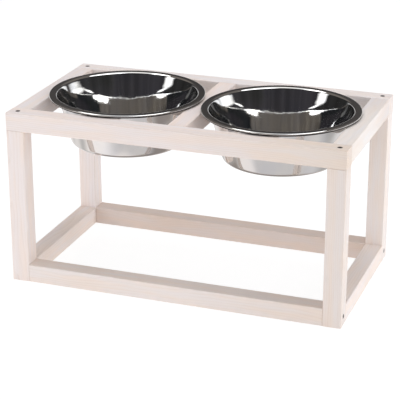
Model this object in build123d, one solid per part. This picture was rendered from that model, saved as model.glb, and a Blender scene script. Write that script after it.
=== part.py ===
from build123d import *
import math
import os

# Elevated feeder: an open frame of wooden battens that holds two lift-out steel bowls.
# Millimetres. X runs along the frame, Y from front to back, Z up from the floor.
# The origin is the middle of the frame, on the floor.

# ---- Driving dimensions of the frame -----------------------------------------------------------
batten = 30.0            # square section of every leg and rail
frame_height = 290.0     # floor to the top face of the frame
arris_radius = 1.5       # rounding of each batten's long edges
end_ease = 0.4           # small chamfer round each cut end

# ---- Driving dimensions of a bowl --------------------------------------------------------------
rim_radius = 129.0       # to the outside of the rolled rim
rim_height = 6.0         # rolled rim, above the rails that it rests on
rim_land = 9.6           # top of the rim, from its outside to where the mouth turns down
land_fall = 0.4          # how far that land drops towards its outside
curl_width = 5.5         # from the outside of the rim to the cut edge curled under it
curl_foot = 2.0          # flat end of the curl, lying on the wood
tuck_height = 2.0        # height over which the skirt of the rim turns in to that foot
foot_bend = 3.0          # radius where the tuck meets the foot
mouth_bend = 3.5         # radius that turns the land down into the mouth
mouth_lean = 21.0        # slope of the wide mouth from the vertical, in degrees
mouth_height = 24.0      # from the land down to where the wall grows steeper
wall_bend = 150.0        # slow bend from the mouth into the wall
wall_lean = 14.0         # slope of the wall from the vertical, in degrees
bowl_depth = 78.5        # underside of the base below the tops of the rails
base_bend = 9.0          # radius between the wall and the base
sheet = 0.8              # steel thickness
panel_radius = 56.0      # raised middle of the base
panel_rise = 2.0         # how far that panel stands above the ring the bowl stands on
panel_run = 6.0          # width of the slope up to the panel
panel_bend = 3.0         # radius of the two bends of that slope

# ---- How the bowls sit in the frame ------------------------------------------------------------
end_rest = 6.0           # rim lying on the front rail and on the back rail
rim_gap = 7.0            # between the two rims, over the centre rail

# ---- Fasteners ---------------------------------------------------------------------------------
screw_radius = 2.25      # shank
screw_length = 60.0      # over the countersunk head
head_radius = 4.0        # countersunk head, 90 degrees
head_land = 0.4          # straight edge of the head
head_sink = 0.3          # head below the face of the wood
tip_length = 5.0         # tapered point
recess_span = 4.6        # cross recess, tip to tip
recess_width = 1.1       # width of each arm of the cross
recess_depth = 1.8
screw_fit = 0.05         # radial room round the screw in its hole

dowel_radius = 3.0
dowel_length = 36.0
dowel_chamfer = 0.8
dowel_to_screw = 2.75    # wood left between a dowel and a screw that passes between the pair
glue_gap = 0.05          # radial room for glue round a dowel
hole_end_gap = 1.0       # room past the end of a dowel or the point of a screw

# ---- Sizes that follow -------------------------------------------------------------------------
bay_depth = 2 * (rim_radius - end_rest)                # front rail to back rail
bay_length = 2 * rim_radius - (batten - rim_gap)       # side rail to centre rail
frame_length = 2 * bay_length + 3 * batten
frame_width = bay_depth + 2 * batten
leg_height = frame_height - batten
leg_x = (frame_length - batten) / 2
leg_y = (frame_width - batten) / 2
top_z = frame_height - batten / 2
low_z = batten / 2
bowl_x = (bay_length + batten) / 2
dowel_offset = screw_radius + dowel_to_screw + dowel_radius


def along(axis):
    """Turn that lays a solid built along X along the named axis instead."""
    return {"X": Rot(0, 0, 0), "Y": Rot(0, 0, 90), "Z": Rot(0, -90, 0)}[axis]


def make_batten(length, axis, x, y, z):
    """Straight batten centred on a point, with rounded long edges and eased cut ends."""
    body = Box(length, batten, batten)
    body = fillet(body.edges().filter_by(Axis.X), arris_radius)
    cut_ends = body.faces().sort_by(Axis.X)[0].edges() + body.faces().sort_by(Axis.X)[-1].edges()
    body = chamfer(cut_ends, end_ease)
    return Pos(x, y, z) * along(axis) * body


def make_screw():
    """Countersunk wood screw whose head lies at the origin, pointing down Z."""
    head_height = head_radius - screw_radius
    tip_radius = screw_radius / 5
    outline = Polyline(
        (0, 0),
        (head_radius, 0),
        (head_radius, -head_land),
        (screw_radius, -head_land - head_height),
        (screw_radius, tip_length - screw_length),
        (tip_radius, -screw_length),
        (0, -screw_length),
        close=True,
    )
    screw = revolve(Plane.XZ * make_face(outline), Axis.Z)
    for turn in (0, 90):
        arm = Box(recess_span, recess_width, 2 * recess_depth)
        screw -= Rot(0, 0, turn) * arm
    return screw


def make_screw_hole():
    """Countersunk hole for that screw, mouth at the origin and running past the wood's face."""
    wide = head_radius + screw_fit
    narrow = screw_radius + screw_fit
    outline = Polyline(
        (0, head_sink),
        (wide, head_sink),
        (wide, -head_land),
        (narrow, -head_land - head_radius + screw_radius),
        (narrow, -screw_length - hole_end_gap),
        (0, -screw_length - hole_end_gap),
        close=True,
    )
    return revolve(Plane.XZ * make_face(outline), Axis.Z)


def make_dowel(radius, length):
    """Cylinder along Y, centred on the origin."""
    return Rot(90, 0, 0) * Cylinder(radius, length)


def screw_places():
    """Name and place of each screw: four down through the top frame, four in through the legs."""
    places = {}
    for depth_name, y in (("front", -leg_y), ("back", leg_y)):
        for side_name, side in (("left", -1), ("right", 1)):
            top = Pos(side * leg_x, y, frame_height - head_sink)
            places[f"{depth_name}_{side_name}_top_screw"] = top
            face_x = side * (frame_length / 2 - head_sink)
            places[f"{depth_name}_{side_name}_side_screw"] = Pos(face_x, y, low_z) * Rot(0, side * 90, 0)
    return places


def dowel_places(x, z, spread):
    """Centres of the four dowels of one cross rail, a pair at each end, spread along X or Z."""
    places = []
    for y in (-bay_depth / 2, bay_depth / 2):
        for offset in (-dowel_offset, dowel_offset):
            step = (offset, 0) if spread == "X" else (0, offset)
            places.append(Pos(x + step[0], y, z + step[1]))
    return places


def bowl_midline():
    """Middle of the steel sheet, from the centre of the base to the edge curled under the rim."""
    half = sheet / 2
    base_z = half - bowl_depth
    land_z = rim_height - half
    wall_top_z = land_z - mouth_height
    land_turn = math.radians(90 - mouth_lean)
    mouth_x = rim_radius - rim_land - mouth_bend * math.tan(land_turn / 2)
    wall_top_x = mouth_x - mouth_height * math.tan(math.radians(mouth_lean))
    base_x = wall_top_x - (wall_top_z - base_z) * math.tan(math.radians(wall_lean))
    outer_x = rim_radius - half
    edge_x = rim_radius - curl_width
    skirt_top_z = land_z - land_fall
    tuck_z = half + tuck_height
    skirt = skirt_top_z - tuck_z
    corners = [
        (0, base_z + panel_rise),
        (panel_radius, base_z + panel_rise),
        (panel_radius + panel_run, base_z),
        (base_x, base_z),
        (wall_top_x, wall_top_z),
        (mouth_x, land_z),
        (outer_x, skirt_top_z),
        (outer_x, tuck_z),
        (edge_x + curl_foot, half),
        (edge_x, half),
    ]
    roll_bend, tuck_bend = 0.55 * skirt, 0.4 * skirt
    bends = [panel_bend, panel_bend, base_bend, wall_bend, mouth_bend, roll_bend, tuck_bend, foot_bend]
    return FilletPolyline(*corners, radius=bends)


def make_bowl(x):
    """Spun steel bowl hung by its rolled rim, whose underside lies on the rails."""
    section = trace(bowl_midline(), line_width=sheet)
    return Pos(x, 0, frame_height) * revolve(Plane.XZ * section, Axis.Z)


# ---- Battens -----------------------------------------------------------------------------------
battens = {
    "top_front_rail": make_batten(frame_length, "X", 0, -leg_y, top_z),
    "top_back_rail": make_batten(frame_length, "X", 0, leg_y, top_z),
    "top_left_rail": make_batten(bay_depth, "Y", -leg_x, 0, top_z),
    "top_center_rail": make_batten(bay_depth, "Y", 0, 0, top_z),
    "top_right_rail": make_batten(bay_depth, "Y", leg_x, 0, top_z),
    "lower_front_rail": make_batten(frame_length - 2 * batten, "X", 0, -leg_y, low_z),
    "lower_back_rail": make_batten(frame_length - 2 * batten, "X", 0, leg_y, low_z),
    "lower_left_rail": make_batten(bay_depth, "Y", -leg_x, 0, low_z),
    "lower_right_rail": make_batten(bay_depth, "Y", leg_x, 0, low_z),
    "front_left_leg": make_batten(leg_height, "Z", -leg_x, -leg_y, leg_height / 2),
    "front_right_leg": make_batten(leg_height, "Z", leg_x, -leg_y, leg_height / 2),
    "back_left_leg": make_batten(leg_height, "Z", -leg_x, leg_y, leg_height / 2),
    "back_right_leg": make_batten(leg_height, "Z", leg_x, leg_y, leg_height / 2),
}

# ---- Dowels: each cross rail has a pair at each end --------------------------------------------
dowel_groups = {
    "top_left_rail_dowels": dowel_places(-leg_x, top_z, "X"),
    "top_center_rail_dowels": dowel_places(0, top_z, "X"),
    "top_right_rail_dowels": dowel_places(leg_x, top_z, "X"),
    "lower_left_rail_dowels": dowel_places(-leg_x, low_z, "Z"),
    "lower_right_rail_dowels": dowel_places(leg_x, low_z, "Z"),
}
dowel = make_dowel(dowel_radius, dowel_length)
dowel = chamfer(dowel.edges().filter_by(GeomType.CIRCLE), dowel_chamfer)
dowel_hole = make_dowel(dowel_radius + glue_gap, dowel_length + 2 * hole_end_gap)

# ---- Holes: each one is cut from every batten that it passes through ---------------------------
screw = make_screw()
screw_hole = make_screw_hole()
holes = [place * screw_hole for place in screw_places().values()]
for places in dowel_groups.values():
    holes += [place * dowel_hole for place in places]


def overlaps(first, second):
    """Whether the boxes round two solids share any space."""
    a, b = first.bounding_box(), second.bounding_box()
    return all(
        getattr(a.min, axis) < getattr(b.max, axis) and getattr(b.min, axis) < getattr(a.max, axis)
        for axis in "XYZ"
    )


for name, body in battens.items():
    for hole in holes:
        if overlaps(body, hole):
            body = body - hole
    battens[name] = body

# ---- One file for each sub-part ----------------------------------------------------------------
nodes = dict(battens)
nodes["left_bowl"] = make_bowl(-bowl_x)
nodes["right_bowl"] = make_bowl(bowl_x)
for name, place in screw_places().items():
    nodes[name] = place * screw
for name, places in dowel_groups.items():
    nodes[name] = Compound(children=[place * dowel for place in places])

os.makedirs("parts", exist_ok=True)
for name, shape in nodes.items():
    shape.label = name
    export_step(shape, f"parts/{name}.step")

print(f"frame {frame_length:.0f} long, {frame_width:.0f} deep, {frame_height:.0f} high")
print(f"bays {bay_length:.0f} by {bay_depth:.0f}, bowl centres at {bowl_x:.1f}, {len(nodes)} nodes")
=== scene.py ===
# %% [markdown]
# # A raised feeder: a whitewashed frame with two steel bowls
# The frame of battens, screws and dowels and the two bowls come from a CAD model, at their real
# size. This file gives every surface its finish, spins smooth steel bowls in place of the CAD
# ones, lights the set and places the camera. The CAD model is in millimetres and Blender works in
# metres, so `mm` turns one into the other. The box round the whole object is measured here, and
# again at the end, to show that nothing has grown.

# %% Load the frame
import math

import bmesh
import bpy
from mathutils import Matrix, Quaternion, Vector


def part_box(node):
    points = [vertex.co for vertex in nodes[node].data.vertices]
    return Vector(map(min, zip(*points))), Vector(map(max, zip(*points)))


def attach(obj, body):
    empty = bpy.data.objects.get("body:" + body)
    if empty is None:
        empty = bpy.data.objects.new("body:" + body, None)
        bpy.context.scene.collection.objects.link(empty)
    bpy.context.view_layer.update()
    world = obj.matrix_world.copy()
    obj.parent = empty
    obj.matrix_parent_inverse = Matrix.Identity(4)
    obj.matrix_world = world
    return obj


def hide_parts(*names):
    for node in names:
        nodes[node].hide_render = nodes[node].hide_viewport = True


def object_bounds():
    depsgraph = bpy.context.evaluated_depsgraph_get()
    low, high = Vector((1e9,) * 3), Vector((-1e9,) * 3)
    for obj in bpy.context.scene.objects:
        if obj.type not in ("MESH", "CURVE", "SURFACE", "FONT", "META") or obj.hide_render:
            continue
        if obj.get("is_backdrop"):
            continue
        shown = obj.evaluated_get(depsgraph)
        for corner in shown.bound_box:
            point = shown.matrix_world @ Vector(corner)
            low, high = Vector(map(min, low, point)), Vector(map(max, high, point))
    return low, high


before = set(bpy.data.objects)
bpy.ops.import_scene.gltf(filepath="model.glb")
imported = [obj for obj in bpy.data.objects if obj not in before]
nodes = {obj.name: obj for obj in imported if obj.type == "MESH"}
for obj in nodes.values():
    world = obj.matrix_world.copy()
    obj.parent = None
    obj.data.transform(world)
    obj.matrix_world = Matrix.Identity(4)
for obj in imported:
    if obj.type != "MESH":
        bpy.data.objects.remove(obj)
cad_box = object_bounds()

mm = 0.001
scene = bpy.context.scene
box_sides = [round((high - low) / mm) for low, high in zip(*cad_box)]
print(len(nodes), "CAD nodes in a box of", box_sides, "mm")

# %% [markdown]
# ## Camera
# A long lens far away keeps the frame's edges nearly parallel. The camera stands to the right of
# the middle and looks down on the bowls. It could be aimed with a Track To constraint, but this
# view needs an exact direction, so the turn and the tilt are given as angles and `to_track_quat`
# makes a rotation of them. The lens is given as a length in pixels of a finished image that is 400
# wide, and turned into millimetres with the width of the sensor.

# %% Camera
camera_turn = 0.3436972
camera_tilt = 0.3683337
camera_place = Vector((769.103, -2163.590, 1007.932)) * mm
focal_pixels = 1478.984
image_pixels = 400
sensor_width = 36.0

look = Vector((
    -math.sin(camera_turn) * math.cos(camera_tilt),
    math.cos(camera_turn) * math.cos(camera_tilt),
    -math.sin(camera_tilt),
))
camera_data = bpy.data.cameras.new("camera")
camera_data.sensor_width = sensor_width
camera_data.lens = focal_pixels * sensor_width / image_pixels
camera = bpy.data.objects.new("camera", camera_data)
camera.location = camera_place
camera.rotation_mode = "QUATERNION"
camera.rotation_quaternion = look.to_track_quat("-Z", "Y")
scene.collection.objects.link(camera)
scene.camera = camera
scene.view_settings.view_transform = "Standard"
print("lens", round(camera_data.lens, 1), "mm on a", sensor_width, "mm sensor")

# %% [markdown]
# ## Short words for shader trees
# Every finish below is a tree of shader nodes. Written out in full, each node takes several lines,
# which hides the idea. So a few helpers come first: `add` makes a node and sets its properties,
# `feed` puts a number, a colour or another node's output into a socket, and the rest are the
# handful of steps that come back in every tree.


# %% Helpers that make nodes
def add(tree, kind, **settings):
    """New node in a tree, with the named properties set."""
    node = tree.nodes.new("ShaderNode" + kind)
    for name, value in settings.items():
        setattr(node, name, value)
    return node


def feed(tree, value, socket):
    """Links another node's output into a socket, or writes a plain value there."""
    if isinstance(value, bpy.types.NodeSocket):
        tree.links.new(value, socket)
    else:
        socket.default_value = value


def calc(tree, operation, *values):
    """One sum, such as MULTIPLY, on numbers and sockets."""
    node = add(tree, "Math", operation=operation)
    for value, socket in zip(values, node.inputs):
        feed(tree, value, socket)
    return node.outputs[0]


def ease(tree, value, low, high, to_low=0.0, to_high=1.0):
    """Smooth change from to_low to to_high while the value goes from low to high."""
    node = add(tree, "MapRange", interpolation_type="SMOOTHSTEP")
    sockets = ("Value", "From Min", "From Max", "To Min", "To Max")
    for entry, name in zip((value, low, high, to_low, to_high), sockets):
        feed(tree, entry, node.inputs[name])
    return node.outputs["Result"]


print("add, feed, calc and ease are ready")


# %% Helpers for colours
def srgb(red, green, blue):
    """Linear colour with alpha, from the 0 to 255 values of a colour picker."""
    def linear(value):
        value /= 255
        return value / 12.92 if value <= 0.04045 else ((value + 0.055) / 1.055) ** 2.4
    return (linear(red), linear(green), linear(blue), 1.0)


def grey(level, warm=0.0):
    """Linear grey with alpha. Where it is warm, it has a little more red and less blue."""
    return (level * (1 + warm), level, level * (1 - warm), 1.0)


def mix(tree, factor, first, second, blend="MIX"):
    """Two colours mixed by a factor."""
    node = add(tree, "Mix", data_type="RGBA", blend_type=blend)
    sockets = (node.inputs[0], node.inputs[6], node.inputs[7])
    for value, socket in zip((factor, first, second), sockets):
        feed(tree, value, socket)
    return node.outputs[2]


print("a picker's mid grey of 188 is", round(srgb(188, 188, 188)[0], 2), "in linear light")


# %% Helpers for places and distances
def split(tree, vector):
    """The three parts of a vector."""
    node = add(tree, "SeparateXYZ")
    feed(tree, vector, node.inputs[0])
    return node.outputs[0], node.outputs[1], node.outputs[2]


def join(tree, *parts):
    """Vector made of two or three parts."""
    node = add(tree, "CombineXYZ")
    for value, socket in zip(parts, node.inputs):
        feed(tree, value, socket)
    return node.outputs[0]


def squares(tree, first, second):
    """The squares of two numbers, added up."""
    return calc(tree, "ADD", calc(tree, "MULTIPLY", first, first),
                calc(tree, "MULTIPLY", second, second))


def from_axis(tree, first, second):
    """Distance from an axis, out of the two distances square to it."""
    return calc(tree, "SQRT", squares(tree, first, second))


def local_mm(tree, centre, turn=(0, 0, 0)):
    """Object coordinates in millimetres from a centre, turned so that a piece lies along X."""
    coords = add(tree, "TexCoord")
    place = add(tree, "Mapping", vector_type="TEXTURE")
    feed(tree, coords.outputs["Object"], place.inputs["Vector"])
    place.inputs["Location"].default_value = centre
    place.inputs["Rotation"].default_value = turn
    place.inputs["Scale"].default_value = (mm, mm, mm)
    return place.outputs["Vector"]


def noise(tree, vector, scale, detail=2.0, stretch=(1, 1, 1)):
    """Noise from 0 to 1. The stretch is how often it repeats along each axis, times the scale."""
    place = add(tree, "Mapping")
    feed(tree, vector, place.inputs["Vector"])
    place.inputs["Scale"].default_value = stretch
    node = add(tree, "TexNoise")
    feed(tree, place.outputs["Vector"], node.inputs["Vector"])
    node.inputs["Scale"].default_value = scale
    node.inputs["Detail"].default_value = detail
    return node.outputs["Fac"]


print("patterns are measured in millimetres: one is", mm, "m")


# %% Helpers for groups, materials and relief
def new_group(name, inputs, outputs):
    """Node group with named sockets. Gives the group, its inputs by name and its output node."""
    group = bpy.data.node_groups.new(name, "ShaderNodeTree")
    for way, labels in (("INPUT", inputs), ("OUTPUT", outputs)):
        for label, kind in labels:
            group.interface.new_socket(label, in_out=way, socket_type="NodeSocket" + kind)
    entry = group.nodes.new("NodeGroupInput")
    leave = group.nodes.new("NodeGroupOutput")
    return group, {label: entry.outputs[label] for label, _ in inputs}, leave


def place_group(tree, group, **values):
    """One use of a node group in a tree. An underscore in a value's name stands for a space."""
    node = add(tree, "Group", node_tree=group)
    for name, value in values.items():
        feed(tree, value, node.inputs[name.replace("_", " ")])
    return node


def new_material(name):
    """Material with a Principled shader. Gives the material, its tree and the shader."""
    material = bpy.data.materials.new(name)
    material.use_nodes = True
    return material, material.node_tree, material.node_tree.nodes["Principled BSDF"]


def relief(tree, height, strength, depth, below=None):
    """Normal of a surface whose height varies, over a depth in millimetres."""
    node = add(tree, "Bump")
    node.inputs["Strength"].default_value = strength
    node.inputs["Distance"].default_value = depth * mm
    feed(tree, height, node.inputs["Height"])
    if below is not None:
        feed(tree, below, node.inputs["Normal"])
    return node.outputs["Normal"]


print("group, material and relief helpers are ready")


# %% Helpers for CAD pieces
def lie_of(name):
    """Middle of a CAD piece, its length and thickness in millimetres, and its longest axis."""
    low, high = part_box(name)
    sides = [b - a for a, b in zip(low, high)]
    middle = [(a + b) / 2 for a, b in zip(low, high)]
    return middle, max(sides) / mm, min(sides) / mm, sides.index(max(sides))


def dress(name, material):
    """Gives a CAD piece one material in place of its plain one."""
    slots = nodes[name].data.materials
    slots.clear()
    slots.append(material)


# Turns of a pattern's own X axis that lay it along X, along Y and along Z.
turns = ((0, 0, 0), (0, 0, math.radians(90)), (0, math.radians(-90), 0))
print(len(turns), "turns, one for each way that a piece can lie")

# %% [markdown]
# ## Whitewashed wood
# A batten is sawn from a log, so its grain is a cut through long, nearly round growth rings. A
# picture of wood would be the quick way, but it would wrap badly round the edges and show no end
# grain. Here the rings are a solid pattern that fills the space inside the batten: the distance
# from the pith, which lies somewhere outside the batten, divided by the ring spacing. Every face
# and both ends then show their own cut through the same rings.
#
# All of this is one node group, because all thirteen battens and the dowels use it, each with its
# own pith, spacing and colours. The group puts out a colour, a roughness and a height, and the
# shader stays in the material.

# %% Node group for washed wood: the rings
grain, given, grain_out = new_group(
    "washed grain",
    [("Vector", "Vector"), ("Pith Y", "Float"), ("Pith Z", "Float"), ("Spacing", "Float"),
     ("Half Length", "Float"), ("Half Side", "Float"), ("Wash", "Color"), ("Far Wash", "Color"),
     ("Wood", "Color"), ("Late", "Color"), ("Show", "Float")],
    [("Color", "Color"), ("Roughness", "Float"), ("Height", "Float")],
)
ring_wander = 16.0      # how far a ring strays along the batten, in millimetres
ring_ripple = 0.8       # its small waves, in millimetres
trunk_taper = 0.012     # the rings lean with the taper of the trunk

along, across, up = split(grain, given["Vector"])
# Each pith moves the noises by its own amount, so no two battens show the same ones.
own_place = join(grain, calc(grain, "MULTIPLY", given["Pith Y"], 37.0),
                 calc(grain, "MULTIPLY", given["Pith Z"], 11.0))
moved = add(grain, "VectorMath", operation="ADD")
feed(grain, given["Vector"], moved.inputs[0])
feed(grain, own_place, moved.inputs[1])
spot = moved.outputs[0]
drift = noise(grain, spot, 1.0, 2.0, (0.006, 0.025, 0.025))
ripple = noise(grain, spot, 1.0, 2.0, (0.03, 0.3, 0.3))

radius = from_axis(grain, calc(grain, "SUBTRACT", across, given["Pith Y"]),
                   calc(grain, "SUBTRACT", up, given["Pith Z"]))
for bend, size in ((drift, ring_wander), (ripple, ring_ripple), (along, trunk_taper)):
    radius = calc(grain, "MULTIPLY_ADD", bend, size, radius)
phase = calc(grain, "FRACT", calc(grain, "DIVIDE", radius, given["Spacing"]))
# A ring darkens slowly into its late wood, and the next ring starts at once.
late = calc(grain, "MULTIPLY", ease(grain, phase, 0.30, 0.90),
            ease(grain, phase, 0.92, 1.0, 1.0, 0.0))
print("rings: one line of late wood each, wandering by up to", ring_wander, "mm")

# %% [markdown]
# ### How thin the wash is
# On top of the rings come fine fibres, short pores and the whitewash itself. The wash is thin
# where the brush dragged it, where hard late wood took up little of it, on the rounded edges and
# the cut ends, and in streaks near the joints, where the parts were rubbed down. Each of these is
# a mask, and `thin` adds them up, each with its own share. Taking the strongest mask would be
# simpler, but adding lets them meet: a late ring that runs over an edge is barer than either alone.

# %% Fibres, pores and brush marks
edge_reach = 2.0        # how far the wash is rubbed off round an edge, in millimetres
joint_reach = 16.0      # how far from a joint it is thin
fibre = noise(grain, spot, 1.0, 4.0, (0.035, 1.7, 1.7))
pores = ease(grain, noise(grain, spot, 1.0, 1.0, (0.14, 3.2, 3.2)), 0.64, 0.74)
patches = noise(grain, spot, 1.0, 2.0, (0.007, 0.04, 0.04))
brushed = noise(grain, spot, 1.0, 3.0, (0.012, 0.55, 0.55))

out_both_ways = calc(grain, "MINIMUM", calc(grain, "ABSOLUTE", across),
                     calc(grain, "ABSOLUTE", up))
to_edge = calc(grain, "SUBTRACT", given["Half Side"], out_both_ways)
to_end = calc(grain, "SUBTRACT", given["Half Length"], calc(grain, "ABSOLUTE", along))
rubbed = ease(grain, to_edge, 0.9, edge_reach, 1.0, 0.0)
end = ease(grain, to_end, 0.2, 0.7, 1.0, 0.0)
joint = calc(grain, "MULTIPLY", ease(grain, to_end, 1.0, joint_reach, 1.0, 0.0),
             ease(grain, brushed, 0.40, 0.60))


def swing(value):
    """A noise moved down, so that it thins the wash in some places and thickens it in others."""
    return calc(grain, "SUBTRACT", value, 0.5)


thin = 0.12
for cause, share in (
    (late, 0.24), (swing(fibre), 0.7), (swing(brushed), 1.0), (swing(patches), 1.2),
    (rubbed, 0.28), (joint, 0.40), (end, 0.35),
):
    thin = calc(grain, "MULTIPLY_ADD", cause, share, thin)
thin = calc(grain, "MAXIMUM", calc(grain, "MINIMUM", thin, 1.0), 0.0)
print("the wash thins", edge_reach, "mm round an edge and", joint_reach, "mm from a joint")

# %% [markdown]
# ### Colour, roughness and height
# Where the wash is thin, the warm wood shows through by a share called Show. The wash isn't one
# white either: it was brushed on in several goes, so soft clouds of it are a touch warmer or
# cooler. From the middle of a batten to its far end it may also darken: that is painted shade, for
# a batten that gets less light towards one end. Bare wood is a little smoother than chalky wash.
# The fibres and the late rings stand up, and the pores are pits. The relief could have noises of
# its own, but made from the same masks as the colour, each pit lies where a pore shows.

# %% Colour, roughness and height of washed wood
bare = mix(grain, late, given["Wood"], given["Late"])
way_out = calc(grain, "DIVIDE", along, given["Half Length"])
# Painted shade: towards the far end the wash turns to its far colour, which on three battens is
# darker where less light falls.
blend = mix(grain, ease(grain, way_out, 0.0, 1.0), given["Wash"], given["Far Wash"])
warm_wash = mix(grain, 1.0, blend, srgb(255, 251, 247), "MULTIPLY")
cool_wash = mix(grain, 1.0, blend, srgb(252, 253, 255), "MULTIPLY")
cloud = ease(grain, noise(grain, spot, 1.0, 2.0, (0.010, 0.07, 0.07)), 0.35, 0.65)
washed = mix(grain, cloud, warm_wash, cool_wash)
colour = mix(grain, calc(grain, "MULTIPLY", thin, given["Show"]), washed, bare)
pore_tone = calc(grain, "MULTIPLY", pores, calc(grain, "MULTIPLY", given["Show"], 0.35))
feed(grain, mix(grain, pore_tone, colour, given["Late"]), grain_out.inputs["Color"])

rough = calc(grain, "MULTIPLY_ADD", thin, -0.12, 0.66)
feed(grain, rough, grain_out.inputs["Roughness"])

height = calc(grain, "MULTIPLY_ADD", fibre, 0.5, calc(grain, "MULTIPLY", late, 0.35))
height = calc(grain, "MULTIPLY_ADD", pores, -0.6, height)
feed(grain, height, grain_out.inputs["Height"])
print("group", grain.name, "has", len(grain.nodes), "nodes")


# %% Material made with the grain group
def wooden(name, centre, turn, strength, depth, **values):
    """Wood with its grain along the turned X axis. Gives the material and its shader."""
    material, tree, shader = new_material(name)
    wood = place_group(tree, grain, Vector=local_mm(tree, centre, turn), **values)
    feed(tree, wood.outputs["Color"], shader.inputs["Base Color"])
    feed(tree, wood.outputs["Roughness"], shader.inputs["Roughness"])
    feed(tree, relief(tree, wood.outputs["Height"], strength, depth), shader.inputs["Normal"])
    return material, shader


print("wooden() places the group", grain.name, "in a material")

# %% [markdown]
# ### One material for each batten
# No two battens come from the same place in a log, so each one has its own pith and ring spacing,
# and a wash that is a touch warmer or cooler than its neighbour's. The lower back rail and the
# front right leg get a darker wash, which is painted shade, and the back left leg a lighter one,
# which is painted light. Three of them also have a darker, warmer wash towards one end, which is
# painted shade too. One material on all of them would be less work, but then the rings would run
# straight on from a leg into a rail, as if the frame had been carved from one block. The loop below
# gives each batten a material whose coordinates are centred on it and turned along its own length.

# %% Battens
wash_white = (249, 241, 237)
wood_show = 0.36
battens = {
    # name: pith across, pith up, ring spacing, change of the wash in red, green and blue (own tone,
    # with painted light and shade where marked)
    "top_front_rail": (-34, -52, 3.1, (-1, -3, -3)),
    "top_back_rail": (28, -60, 2.6, (-2, -1, 1)),
    "top_left_rail": (-40, 30, 2.4, (-3, -3, -1)),
    "top_center_rail": (46, -38, 3.4, (0, -4, -5)),
    "top_right_rail": (-22, -64, 2.8, (-3, -1, -1)),
    "lower_front_rail": (38, 44, 3.0, (-3, -5, -7)),
    # painted shade: the bowls shade this rail from above
    "lower_back_rail": (-52, 26, 2.5, (-17, -24, -29)),
    "lower_left_rail": (30, -48, 3.3, (-1, -4, -6)),
    "lower_right_rail": (-44, -34, 2.7, (0, -2, -3)),
    "front_left_leg": (-58, 20, 2.9, (-1, -4, -5)),
    # painted shade: this leg gets less of the light from the front left
    "front_right_leg": (24, 56, 2.5, (-8, -10, -12)),
    # painted light: this leg's front is lightened where shade falls on it
    "back_left_leg": (42, -50, 3.2, (5, 4, 5)),
    "back_right_leg": (-30, 48, 2.6, (-1, -2, -3)),
}
# Painted shade: how the wash darkens from the middle towards the far end (the right end, the back
# or the top), where less light falls.
far_end_shade = {
    "top_front_rail": (-8, -11, -18),
    "top_right_rail": (-9, -11, -10),
    "lower_front_rail": (-5, -6, -7),
}
for name, (pith_y, pith_z, spacing, own_tone_and_shade) in battens.items():
    centre, length, side, axis = lie_of(name)
    wash_and_shade = [white + step for white, step in zip(wash_white, own_tone_and_shade)]
    shaded_far_wash = [value + step for value, step in zip(wash_and_shade, far_end_shade.get(name, (0, 0, 0)))]
    material, shader = wooden(
        name + "_washed", centre, turns[axis], 0.5, 0.12, Pith_Y=pith_y, Pith_Z=pith_z,
        Spacing=spacing, Half_Length=length / 2, Half_Side=side / 2, Wash=srgb(*wash_and_shade),
        Far_Wash=srgb(*shaded_far_wash), Wood=srgb(236, 219, 206), Late=srgb(216, 192, 174),
        Show=wood_show,
    )
    shader.inputs["Specular IOR Level"].default_value = 0.35
    dress(name, material)
    print(name, "grain along", "XYZ"[axis], round(length), "mm")

# %% [markdown]
# ### Dowels
# The cross rails are held by beech dowels glued into blind holes. None of them shows on the
# finished frame, but the part comes apart into its pieces, so they get a finish too: the same
# grain group with no wash to speak of, tight rings and a browner wood. All of them lie along Y, so
# one material serves them all. Half a length and half a side that are far too large switch off the
# rubbed edges and the ends.

# %% Dowel wood
beech_pale = srgb(222, 192, 154)
no_end = 9999.0
material, _ = wooden(
    "beech_dowel", (0, 0, 0), turns[1], 0.4, 0.08, Pith_Y=-70.0, Pith_Z=-410.0, Spacing=1.6,
    Half_Length=no_end, Half_Side=no_end, Wash=beech_pale, Far_Wash=beech_pale,
    Wood=srgb(205, 168, 128), Late=srgb(176, 134, 96), Show=0.9,
)
dowel_nodes = [name for name in nodes if name.endswith("_dowels")]
for name in dowel_nodes:
    dress(name, material)
print(len(dowel_nodes), "sets of dowels")

# %% [markdown]
# ## Handling marks on metal
# Bright metal is never evenly bright. Fingers and cloths leave faint clouds, and every wipe leaves
# fine scratches. Both show as a change in roughness, not in colour. The bowls and the screws share
# this, so it is a group: its clouds are a soft noise, and its scratches are a noise stretched so
# much that only thin lines are left.

# %% Node group for handling marks
marks, given, marks_out = new_group(
    "handling marks",
    [("Vector", "Vector"), ("Clean", "Float"), ("Dull", "Float")],
    [("Roughness", "Float"), ("Height", "Float")],
)
clouds = ease(marks, noise(marks, given["Vector"], 0.045, 3.0), 0.42, 0.72)
scratch_1 = ease(marks, noise(marks, given["Vector"], 1.0, 0.0, (0.02, 2.2, 0.9)), 0.74, 0.80)
scratch_2 = ease(marks, noise(marks, given["Vector"], 1.0, 0.0, (1.9, 0.05, 1.1)), 0.75, 0.81)
scratches = calc(marks, "MAXIMUM", scratch_1, scratch_2)
worn = calc(marks, "MULTIPLY_ADD", scratches, 0.35, calc(marks, "MULTIPLY", clouds, 0.65))
span = calc(marks, "SUBTRACT", given["Dull"], given["Clean"])
rough = calc(marks, "MULTIPLY_ADD", worn, span, given["Clean"])
feed(marks, rough, marks_out.inputs["Roughness"])
feed(marks, calc(marks, "MULTIPLY", scratches, -1.0), marks_out.inputs["Height"])
print("group", marks.name, "has", len(marks.nodes), "nodes")

# %% [markdown]
# ## Screws
# The screws are plain wood screws with a dark, thinly plated finish. Only the countersunk heads
# show, one in each corner of the top and two on each side near the floor. A flat dark grey would
# do from afar. Close up, a head shows the rings that the turning tool left and a brighter, rubbed
# patch round the recess, where the driver sat. Both are a matter of the distance from the screw's
# own axis, so each screw has a material centred on it.

# %% Screw finish
head_radius = 4.0
tool_pitch = 0.35       # between two rings of the turning tool, in millimetres


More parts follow.
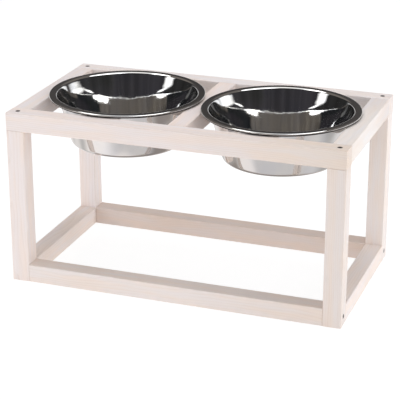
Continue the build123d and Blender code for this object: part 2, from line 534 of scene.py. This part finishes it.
def plated_material(name, centre, turn):
    """Dark plated steel for one screw, with its axis along the turned X axis."""
    material, tree, shader = new_material(name)
    vector = local_mm(tree, centre, turn)
    _, across, up = split(tree, vector)
    reach = from_axis(tree, across, up)
    rings = calc(tree, "SINE", calc(tree, "MULTIPLY", reach, 2 * math.pi / tool_pitch))
    cloud = noise(tree, vector, 0.9, 3.0)
    driven = calc(tree, "MULTIPLY",
                  ease(tree, reach, 0.25 * head_radius, 0.75 * head_radius, 1.0, 0.0),
                  ease(tree, cloud, 0.35, 0.65))
    plating = mix(tree, ease(tree, cloud, 0.3, 0.7), srgb(58, 52, 50), srgb(88, 80, 76))
    feed(tree, mix(tree, driven, plating, srgb(150, 142, 136)), shader.inputs["Base Color"])
    shader.inputs["Metallic"].default_value = 1.0
    touched = place_group(tree, marks, Vector=vector, Clean=0.34, Dull=0.55)
    feed(tree, touched.outputs["Roughness"], shader.inputs["Roughness"])
    height = calc(tree, "ADD", rings, touched.outputs["Height"])
    feed(tree, relief(tree, height, 0.3, 0.02), shader.inputs["Normal"])
    return material


screw_nodes = [name for name in nodes if name.endswith("_screw")]
for name in screw_nodes:
    centre, _, _, axis = lie_of(name)
    dress(name, plated_material(name + "_plated", centre, turns[axis]))
print(len(screw_nodes), "screws with heads", 2 * head_radius, "mm wide")

# %% [markdown]
# ## Bowls
# A dog bowl is spun: a flat disc of stainless steel is pressed against a turning former, then its
# edge is rolled over outwards and curled under. So every bowl is one line turned round an axis.
# The CAD bowl has the same line, but it reaches Blender as flat triangles, and a mirror finish
# shows every one of them. Smooth shading would hide them badly, because the triangles are long and
# uneven. So the bowl is spun again here, from the same sizes, with an even mesh.
#
# The sizes are the CAD model's, in millimetres. The heights are measured from the top of the
# rails, on which the rim lies. The mouth flares wider than the wall below it, and the rim has a
# nearly flat land with a small, tight bend on its inner edge: that bend is what draws a thin
# bright line round the mouth.

# %% Sizes of a bowl
sheet = 0.8             # thickness of the steel
rim_radius = 129.0      # to the outside of the rolled rim
rim_height = 6.0        # above the rails
rim_land = 9.6          # top of the rim, from its outside to where the mouth turns down
land_fall = 0.4         # how far that land drops towards its outside
curl_width = 5.5        # from the outside of the rim to the cut edge curled under it
curl_foot = 2.0         # flat end of the curl, lying on the wood
tuck_height = 2.0       # height over which the rim's skirt turns in to that foot
foot_bend = 3.0
mouth_bend = 3.5
mouth_lean = 21.0       # slope from the vertical, in degrees
mouth_height = 24.0
wall_bend = 150.0       # slow bend from the mouth into the wall
wall_lean = 14.0        # slope from the vertical, in degrees
bowl_depth = 78.5       # from the tops of the rails to the underside of the base
base_bend = 9.0
panel_radius, panel_rise, panel_run, panel_bend = 56.0, 2.0, 6.0, 3.0   # raised middle of the base
frame_height = 290.0
bowl_x = 132.5          # from the middle of the frame to a bowl's axis

half = sheet / 2
base_z = half - bowl_depth
land_z = rim_height - half
wall_top_z = land_z - mouth_height
land_turn = math.radians(90 - mouth_lean)
mouth_x = rim_radius - rim_land - mouth_bend * math.tan(land_turn / 2)
wall_top_x = mouth_x - mouth_height * math.tan(math.radians(mouth_lean))
base_x = wall_top_x - (wall_top_z - base_z) * math.tan(math.radians(wall_lean))
outer_x = rim_radius - half
edge_x = rim_radius - curl_width
skirt = land_z - land_fall - half - tuck_height
print("wall from", round(wall_top_x, 1), "mm to", round(base_x, 1), "mm off the axis")

# %% [markdown]
# ### The line and its bends
# The line could be drawn as one smooth curve, but a press leaves straight runs joined by arcs, and
# reflections tell the two apart. So it starts as straight runs between corners, each with the
# radius of its bend, and `bevel` on a single vertex rounds the corner: for a turn of a given
# angle, the arc starts `radius * tan(angle / 2)` away from the corner. The corners are bevelled
# from the last to the first, so that each one still has its two straight neighbours.

# %% Corners of the line: distance from the axis, height, radius of the bend
corners = [
    (0, base_z + panel_rise, 0),
    (panel_radius, base_z + panel_rise, panel_bend),
    (panel_radius + panel_run, base_z, panel_bend),
    (base_x, base_z, base_bend),
    (wall_top_x, wall_top_z, wall_bend),
    (mouth_x, land_z, mouth_bend),
    (outer_x, land_z - land_fall, 0.55 * skirt),
    (outer_x, half + tuck_height, 0.4 * skirt),
    (edge_x + curl_foot, half, foot_bend),
    (edge_x, half, 0),
]
step_turn = 5           # how far an arc turns from one point to the next, in degrees
fewest_steps = 6
long_run = 6            # straight runs longer than this, in millimetres, are cut up
run_cuts = 5


def bent_line(bm):
    """Draws the line of the bowl in the XZ plane and rounds its corners."""
    points = [
        bm.verts.new((reach * mm, 0, (frame_height + height) * mm)) for reach, height, _ in corners
    ]
    for first, second in zip(points, points[1:]):
        bm.edges.new((first, second))
    for index in range(len(corners) - 2, 0, -1):
        before, corner, after = (Vector(corners[index + step][:2]) for step in (-1, 0, 1))
        turn = (corner - before).angle(after - corner)
        bmesh.ops.bevel(
            bm, geom=[points[index]], offset=corners[index][2] * math.tan(turn / 2) * mm,
            segments=max(fewest_steps, int(math.degrees(turn) / step_turn)), profile=0.5,
            affect="VERTICES", material=-1, clamp_overlap=False,
        )
    runs = [edge for edge in bm.edges if edge.calc_length() > long_run * mm]
    bmesh.ops.subdivide_edges(bm, edges=runs, cuts=run_cuts)


print(len(corners), "corners,", sum(1 for corner in corners if corner[2]), "of them bent")

# %% [markdown]
# ### Steel of the bowls
# The bowls are polished to a mirror, so nearly all that they show is the room. What makes them
# steel and not glass is small. The wall isn't perfectly round: the former leaves shallow ripples
# that run down the wall, and they make the edges of reflections waver. Spinning leaves very fine
# lines that run round. They could be shaped in the mesh, but that would take far more faces, so
# both are heights for a Bump node, worked out from the angle and the distance round the bowl's own
# axis. Under the curled rim the steel is made rougher, and its colour is painted nearly black: a
# painted shadow that draws the thin black line under the rim.

# %% Steel
ripple_depth, line_depth = 0.11, 0.002      # in millimetres
# Heights over the rails of the painted shadow under the rim: full below the first, fading out up to
# the second.
rim_shadow_top, rim_shadow_end = 3.0, 3.7            # heights over the rails; in between, dull fades


def steel_material(name, centre):
    """Mirror-polished spun steel, centred on one bowl's axis at the height of the rails' tops."""
    material, tree, shader = new_material(name)
    vector = local_mm(tree, centre)
    along, across, up = split(tree, vector)
    reach = calc(tree, "MAXIMUM", from_axis(tree, along, across), 1.0)
    around = join(tree, calc(tree, "DIVIDE", along, reach), calc(tree, "DIVIDE", across, reach),
                  calc(tree, "MULTIPLY", up, 0.006))
    ripples = calc(tree, "MULTIPLY", noise(tree, around, 7.0, 3.0),
                   ease(tree, reach, panel_radius, base_x))
    spun = noise(tree, join(tree, reach, up), 2.4, 2.0)
    # Painted shadow: near the cut edge and low on the rim's skirt the steel is painted nearly black
    # and made rougher; the black stands in for the shade in the gap under the rim.
    painted_rim_shadow = calc(tree, "MULTIPLY", ease(tree, reach, edge_x - 2, edge_x - 1),
                 ease(tree, up, rim_shadow_top, rim_shadow_end, 1.0, 0.0))
    patch = ease(tree, noise(tree, vector, 0.02, 2.0), 0.35, 0.65)
    tint = mix(tree, patch, srgb(226, 225, 222), srgb(219, 220, 222))
    feed(tree, mix(tree, painted_rim_shadow, tint, srgb(20, 18, 18)), shader.inputs["Base Color"])
    shader.inputs["Metallic"].default_value = 1.0
    touched = place_group(tree, marks, Vector=vector, Clean=0.025, Dull=0.06)
    rough = calc(tree, "MULTIPLY_ADD", spun, 0.02, touched.outputs["Roughness"])
    feed(tree, calc(tree, "MULTIPLY_ADD", painted_rim_shadow, 0.4, rough), shader.inputs["Roughness"])
    waves = relief(tree, ripples, 1.0, ripple_depth)
    lines = calc(tree, "ADD", spun, touched.outputs["Height"])
    feed(tree, relief(tree, lines, 0.2, line_depth, waves), shader.inputs["Normal"])
    return material


# The nearly black colour under the rim is painted shadow; only its higher roughness belongs to the
# steel.
print("steel is dull within", curl_width, "mm of the rim's edge, on its underside")

# %% [markdown]
# ### Spinning the bowls
# `spin` turns the line once round the axis. With use_merge its last step joins its first, so there
# is no seam. The points on the axis itself are all one point after `remove_doubles`. Then the
# normals are made to agree, and only after that does a Solidify modifier give the sheet its
# thickness, half to each side of the line. It could be given as a second line inside the first,
# but the modifier keeps the sheet equally thick round every bend. Each bowl takes the CAD bowl's
# place and rides on its body, with a steel material of its own.

# %% Spin a bowl
around_steps = 192
weld_distance = 0.001   # points nearer than this, in millimetres, become one


def make_bowl(name, x):
    """Bowl with its axis at x, as a finished object."""
    bm = bmesh.new()
    bent_line(bm)
    bmesh.ops.spin(
        bm, geom=bm.verts[:] + bm.edges[:], cent=(0, 0, 0), axis=(0, 0, 1), dvec=(0, 0, 0),
        angle=2 * math.pi, steps=around_steps, use_merge=True, use_duplicate=False,
    )
    bmesh.ops.remove_doubles(bm, verts=bm.verts[:], dist=weld_distance * mm)
    bmesh.ops.recalc_face_normals(bm, faces=bm.faces[:])
    bmesh.ops.translate(bm, verts=bm.verts[:], vec=(x * mm, 0, 0))
    open_edges = sum(1 for edge in bm.edges if len(edge.link_faces) == 1)
    mesh = bpy.data.meshes.new(name)
    bm.to_mesh(mesh)
    bm.free()
    mesh.shade_smooth()
    bowl = bpy.data.objects.new(name, mesh)
    scene.collection.objects.link(bowl)
    wall = bowl.modifiers.new("sheet", "SOLIDIFY")
    wall.thickness = sheet * mm
    wall.offset = 0
    mesh.materials.append(steel_material(name + "_steel", (x * mm, 0, frame_height * mm)))
    print(name, len(mesh.polygons), "faces, open only at the curl:", open_edges == around_steps)
    return bowl


for side, x in (("left", -bowl_x), ("right", bowl_x)):
    bowl = make_bowl(side + "_spun_bowl", x)
    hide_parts(side + "_bowl")
    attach(bowl, side + "_bowl")

# %% [markdown]
# ## Floor
# The feeder stands on plain white paper. The camera has to see it as white right to the edges of
# the view, with no more than a breath of shadow, while the light that it throws back on the wood
# should be real. One white surface can't do all of that: lit brightly enough to be pure white, it
# would wash out the wood. So the floor is three kinds of paper in one, and Light Path tells them
# apart. For the camera it is mostly a glow with a little shadow left in it. For most other light
# it is pale paper with a weaker glow of its own, painted light that also lights the wood from
# below.
#
# The third kind is for mirrors. The outer walls of the bowls show the paper in front of the
# feeder, and evenly white paper would leave them flat. So mirrors see it in soft, uneven patches of
# painted light and shade, with a few brighter and darker places laid over them, and a painted
# shadow right under the feeder.

# %% Floor
floor_reach = 6.0       # from the middle to each side, in metres
bm = bmesh.new()
bmesh.ops.create_grid(bm, x_segments=1, y_segments=1, size=floor_reach)
floor_mesh = bpy.data.meshes.new("floor")
bm.to_mesh(floor_mesh)
bm.free()
floor = bpy.data.objects.new("floor", floor_mesh)
scene.collection.objects.link(floor)
floor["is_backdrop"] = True
print("floor", floor.dimensions.x, "m wide")


# %% Helpers for shaders that glow
def shine(tree, kind, colour=grey(1.0), strength=1.0):
    """Shader that gives light: Emission on a surface, or Background in the world."""
    node = add(tree, kind)
    feed(tree, colour, node.inputs["Color"])
    feed(tree, strength, node.inputs["Strength"])
    return node.outputs[0]


def choose(tree, test, otherwise, if_so):
    """One of two shaders, by an output of Light Path that is 0 or 1."""
    node = add(tree, "MixShader")
    for value, socket in zip((test, otherwise, if_so), node.inputs):
        feed(tree, value, socket)
    return node.outputs[0]


def glowing_paper(tree, tone, glow_level):
    """Matt paper of a grey tone, with a glow of its own."""
    matt = add(tree, "BsdfDiffuse")
    matt.inputs["Color"].default_value = grey(tone)
    both = add(tree, "AddShader")
    feed(tree, matt.outputs[0], both.inputs[0])
    feed(tree, shine(tree, "Emission", strength=glow_level), both.inputs[1])
    return both.outputs[0]


print("shine, choose and glowing_paper are ready")

# %% Paper as mirrors see it
paper = bpy.data.materials.new("white_paper")
paper.use_nodes = True
tree = paper.node_tree
tree.nodes.clear()
coords = add(tree, "TexCoord")
on_floor = coords.outputs["Object"]
floor_x, floor_y, _ = split(tree, on_floor)

# Painted light and shade: mirrors see the paper in uneven patches and pools of brighter and darker
# light.
uneven = ease(tree, noise(tree, on_floor, 2.2, 1.0), 0.40, 0.60)
mirror_colour = mix(tree, uneven, (0.50, 0.49, 0.49, 1), (0.90, 0.86, 0.85, 1))
painted_paper_patches = (
    # place, where it starts to fade and where it ends, in metres, and the colour
    ((0.0, -0.27, 0), 0.38, 0.50, (0.72, 0.69, 0.69, 1)),
    ((-0.35, -0.26, 0), 0.08, 0.27, (1.14, 1.08, 1.06, 1)),
    ((-0.10, -0.18, 0), 0.06, 0.15, (1.04, 0.98, 0.97, 1)),
)
for place, inner, outer, colour in painted_paper_patches:
    gap = add(tree, "VectorMath", operation="DISTANCE")
    feed(tree, on_floor, gap.inputs[0])
    feed(tree, place, gap.inputs[1])
    near = ease(tree, gap.outputs["Value"], inner, outer, 1.0, 0.0)
    mirror_colour = mix(tree, near, mirror_colour, colour)
# Painted shadow: the paper is darker right under the feeder, as mirrors see it.
painted_shadow_beneath = calc(tree, "MULTIPLY",
               ease(tree, calc(tree, "ABSOLUTE", floor_x), 0.20, 0.32, 1.0, 0.0),
               ease(tree, calc(tree, "ABSOLUTE", floor_y), 0.06, 0.18, 1.0, 0.0))
mirror_colour = mix(tree, painted_shadow_beneath, mirror_colour, (0.34, 0.30, 0.28, 1))
print("mirrors see", len(painted_paper_patches), "patches of paper and a dark place under the feeder")

# %% The three kinds of paper
path = add(tree, "LightPath")
# Painted light: for light other than the camera's and mirrors', the paper is pale with a glow of
# 0.35 of its own, and that glow lights the wood from below.
for_others = choose(tree, path.outputs["Is Glossy Ray"], glowing_paper(tree, 0.85, 0.35),
                    shine(tree, "Emission", mirror_colour))
for_all = choose(tree, path.outputs["Is Camera Ray"], for_others, glowing_paper(tree, 0.25, 0.85))
surface = add(tree, "OutputMaterial")
feed(tree, for_all, surface.inputs[0])
floor_mesh.materials.append(paper)
print("paper: one kind for the camera, one for mirrors and one for all other light")

# %% [markdown]
# ## The room that the steel shows
# A mirror-polished bowl has no colour of its own, so its looks are decided by what stands round
# it: in a studio that is a dim room with dark cloths, paper that curves up at the back, and large
# lights. Real walls and lamps could be modelled, but each would also light the wood. So the room
# is drawn in the world instead, and only mirrors see it. Each wall is a ramp of colours over the
# height of a direction, and the four walls fade into one another round the compass. Paper shows as
# white near the horizon, higher up at the back than in front. A noise that changes round the
# compass gives the walls faint upright streaks.

# %% World: walls
world = bpy.data.worlds.new("studio")
scene.world = world
world.use_nodes = True
room = world.node_tree
room.nodes.clear()
direction = add(room, "TexCoord").outputs["Generated"]
room_x, room_y, room_z = split(room, direction)


def wall_ramp(stops):
    """Colour over the height of the direction: 0 is the horizon, 1 is straight up."""
    ramp = add(room, "ValToRGB")
    feed(room, room_z, ramp.inputs[0])
    elements = ramp.color_ramp.elements
    for element, (position, colour) in zip((elements[0], elements[1]), (stops[0], stops[-1])):
        element.position = position
        element.color = colour
    for position, colour in stops[1:-1]:
        elements.new(position).color = colour
    return ramp.outputs["Color"]


white = grey(1.0)
dark_cloth = (0.043, 0.041, 0.047, 1)
ceiling = (0.188, 0.168, 0.152, 1)
front_wall = wall_ramp([
    (0.0, white), (0.01, white), (0.03, dark_cloth), (0.42, dark_cloth),
    (0.50, grey(0.026, -0.10)), (0.61, grey(0.030, -0.08)), (0.70, grey(0.095)), (1.0, grey(0.11)),
])
right_wall = wall_ramp([
    (0.0, white), (0.01, white), (0.03, (0.055, 0.052, 0.060, 1)), (0.42, grey(0.036)),
    (0.50, ceiling), (1.0, ceiling),
])
left_wall = wall_ramp([
    (0.0, white), (0.01, white), (0.03, grey(0.024)), (0.42, grey(0.028)),
    (0.50, ceiling), (1.0, ceiling),
])
back_wall = wall_ramp([
    (0.0, white), (0.02, white), (0.04, grey(1.2)), (0.085, grey(1.2)),
    (0.105, (0.075, 0.068, 0.067, 1)), (0.42, (0.080, 0.074, 0.072, 1)),
    (0.50, ceiling), (1.0, ceiling),
])
print("four walls, each a ramp of colours from the horizon up")

# %% World: the walls round the compass
level_part = calc(room, "MAXIMUM", from_axis(room, room_x, room_y), 0.01)
backward = calc(room, "DIVIDE", room_y, level_part)
rightward = calc(room, "DIVIDE", room_x, level_part)
side_wall = mix(room, ease(room, rightward, -0.5, 0.5), left_wall, right_wall)
room_colour = mix(room, ease(room, backward, -0.74, -0.62), front_wall, side_wall)
room_colour = mix(room, ease(room, backward, 0.30, 0.62), room_colour, back_wall)

streaks = noise(room, join(room, rightward, backward), 5.0, 3.0)
streaked = add(room, "VectorMath", operation="SCALE")
feed(room, room_colour, streaked.inputs[0])
feed(room, ease(room, streaks, 0.35, 0.65, 0.80, 1.20), streaked.inputs["Scale"])
room_colour = streaked.outputs[0]
print("upright streaks make the walls up to a fifth darker or brighter")

# %% [markdown]
# ### The canopy overhead
# The bright curve inside each bowl is the mirror image of a large cloth with light behind it that
# hangs over the set, and the sharp edge of the curve is the edge of the cloth. It is drawn on a
# flat ceiling: a direction divided by its own height is the place where it meets a ceiling that
# hangs one unit up. There, an oval is wherever the squares of the two distances from its middle,
# each divided by half the oval's size, add up to less than 1. A rectangle would be just as easy,
# but its corners would show as kinks in the curve. The cloth is brightest at its left and right
# ends. In between it is dimmer, least so straight overhead and most at its front edge.

# %% World: canopy
canopy_middle = (0.085, -0.339)
canopy_half = (0.970, 0.807)

overhead = calc(room, "MAXIMUM", room_z, 0.01)
ceiling_x = calc(room, "DIVIDE", room_x, overhead)
ceiling_y = calc(room, "DIVIDE", room_y, overhead)
oval_x, oval_y = (
    calc(room, "DIVIDE", calc(room, "SUBTRACT", place, middle), size)
    for place, middle, size in zip((ceiling_x, ceiling_y), canopy_middle, canopy_half)
)
canopy = ease(room, squares(room, oval_x, oval_y), 0.98, 1.0, 1.0, 0.0)
between = ease(room, calc(room, "ABSOLUTE", ceiling_x), 0.34, 0.54, 1.0, 0.0)
between_light = mix(room, ease(room, ceiling_y, -0.50, -0.25), grey(0.62), grey(1.6))
between_light = mix(room, ease(room, ceiling_y, 0.08, 0.20), between_light, grey(0.68))
between_light = mix(room, ease(room, ceiling_y, -0.94, -0.84), grey(0.11), between_light)
canopy_light = mix(room, between, grey(4.0), between_light)
room_colour = mix(room, canopy, room_colour, canopy_light)
print("canopy", [round(2 * size, 2) for size in canopy_half], "across on a ceiling one unit up")

# %% [markdown]
# ### Soft boxes
# The bright patches at the left and right of each mouth come from soft boxes: low lamps with cloth
# in front of them. Seen from the middle of the set, such a box covers a small part of the sky, so
# it is enough to draw it there: turn the direction so that the box lies straight ahead, divide by
# the depth, and compare with half its width and height. All of them use the same steps, so they
# are a group. They are oval and fade from the middle to the edge, because a hard rectangle would
# look like a window. There is one at each side, with a thin strip beside it. They are bright in
# the first reflection and dimmed in later ones, so that a bowl shows each of them only once.

# %% Node group for a soft box
softbox, given, softbox_out = new_group(
    "soft box",
    [("Direction", "Vector"), ("Half Width", "Float"), ("Half Height", "Float")],
    [("Mask", "Float")],
)
side_part, up_part, depth_part = split(softbox, given["Direction"])
box_x, box_y = (
    calc(softbox, "DIVIDE", calc(softbox, "DIVIDE", part, depth_part), given[size])
    for part, size in ((side_part, "Half Width"), (up_part, "Half Height"))
)
mask = calc(softbox, "MULTIPLY",
            ease(softbox, squares(softbox, box_x, box_y), 0.0, 1.0, 1.0, 0.0),
            calc(softbox, "GREATER_THAN", depth_part, 0.0))
feed(softbox, mask, softbox_out.inputs["Mask"])
print("group", softbox.name, "has", len(softbox.nodes), "nodes")


# %% Soft boxes on the sky
room_path = add(room, "LightPath")
first_time = ease(room, room_path.outputs["Ray Depth"], 2.4, 2.6, 1.0, 0.1)
soft_boxes = (
    # azimuth from the front to the right, elevation, tilt (degrees); half width and height; level
    (120, 10.2, -13, 0.38, 0.064, 1.7),
    (95, 12, 5, 0.20, 0.022, 2.2),
    (-55, 18.0, -11, 0.24, 0.095, 1.8),
    (-42, 12.6, -9, 0.21, 0.022, 2.2),
)
for azimuth, elevation, tilt, half_width, half_height, level in soft_boxes:
    turn, rise = math.radians(azimuth), math.radians(elevation)
    aim = Vector((
        math.sin(turn) * math.cos(rise),
        -math.cos(turn) * math.cos(rise),
        math.sin(rise),
    ))
    roll = Quaternion((0, 0, 1), math.radians(tilt))
    ahead = add(room, "Mapping", vector_type="TEXTURE")
    feed(room, direction, ahead.inputs["Vector"])
    ahead.inputs["Rotation"].default_value = (aim.to_track_quat("Z", "Y") @ roll).to_euler()
    box = place_group(room, softbox, Direction=ahead.outputs["Vector"], Half_Width=half_width,
                      Half_Height=half_height)
    seen = calc(room, "MULTIPLY", box.outputs["Mask"], first_time)
    room_colour = mix(room, seen, room_colour, grey(level))
print(len(soft_boxes), "soft boxes and strips, at the right and at the left")

# %% [markdown]
# ### Who sees what
# The world is three things at once, and Light Path tells them apart, as on the floor. The camera
# sees plain white, so that the paper has no visible end. Mirrors see the room. The wood is lit by
# a plain, slightly warm sky that is dimmer at the back. One sky for all three would be simpler,
# but then the dark room would light the wood.

# %% World: who sees what
front_sky, back_sky = 0.53, 0.35
sky = shine(room, "Background", (1.0, 0.98, 0.96, 1),
            ease(room, room_y, -0.1, 0.6, front_sky, back_sky))
mirrored = shine(room, "Background", room_colour)
for_others = choose(room, room_path.outputs["Is Glossy Ray"], sky, mirrored)
for_all = choose(room, room_path.outputs["Is Camera Ray"], for_others, shine(room, "Background"))
room_out = add(room, "OutputWorld")
feed(room, for_all, room_out.inputs[0])
print("sky gives", front_sky, "of plain light in front and", back_sky, "behind")

# %% [markdown]
# ## Lamps
# The wood is lit softly by three lamps: one at the right, where the side faces are the brightest,
# one in front at the left, and one overhead. One sun would be simpler, but its hard shadows would
# cut across the rails. Large area lamps far away give soft ones. Their brightness is given as a
# level: a lamp of level 1 is as bright as white paper, so its effect can be judged from how much
# of the sky it covers. Mirrors don't see the lamps, because the room above is drawn for them.


# %% Lamps
def lamp(name, place, size, level, colour, aim=(0, 0, 0.15)):
    """Rectangular lamp of one even brightness, turned to face a point. Places are in metres."""
    data = bpy.data.lights.new(name, "AREA")
    data.shape = "RECTANGLE"
    data.size, data.size_y = size
    data.energy = level * math.pi * size[0] * size[1]
    data.color = colour
    lamp_object = bpy.data.objects.new(name, data)
    lamp_object.location = place
    lamp_object.rotation_mode = "QUATERNION"
    lamp_object.rotation_quaternion = (Vector(aim) - Vector(place)).to_track_quat("-Z", "Y")
    lamp_object.visible_glossy = False
    scene.collection.objects.link(lamp_object)
    print(name, round(data.energy), "W")


lamp("right_softbox", (3.0, -0.1, 0.9), (2, 1.6), 3.2, (0.93, 0.97, 1.02))
lamp("front_softbox", (-1.8, -1.7, 0.7), (1.5, 1.2), 2.3, (0.95, 0.99, 1.08))
lamp("overhead_softbox", (0.0, 0.35, 2.6), (1.6, 1.2), 3.5, (0.98, 1.0, 1.05))

# %% [markdown]
# ## Size
# The finished feeder is measured once more, and how far its box has grown from the CAD model's box
# is printed. The spun bowls have the CAD bowls' sizes, so the two agree.

# %% Measure and finish
visual_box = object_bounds()
growth = [
    round((b - a) / mm, 2)
    for first, second in zip(cad_box, visual_box) for a, b in zip(first, second)
]
print("grown by", growth, "mm")
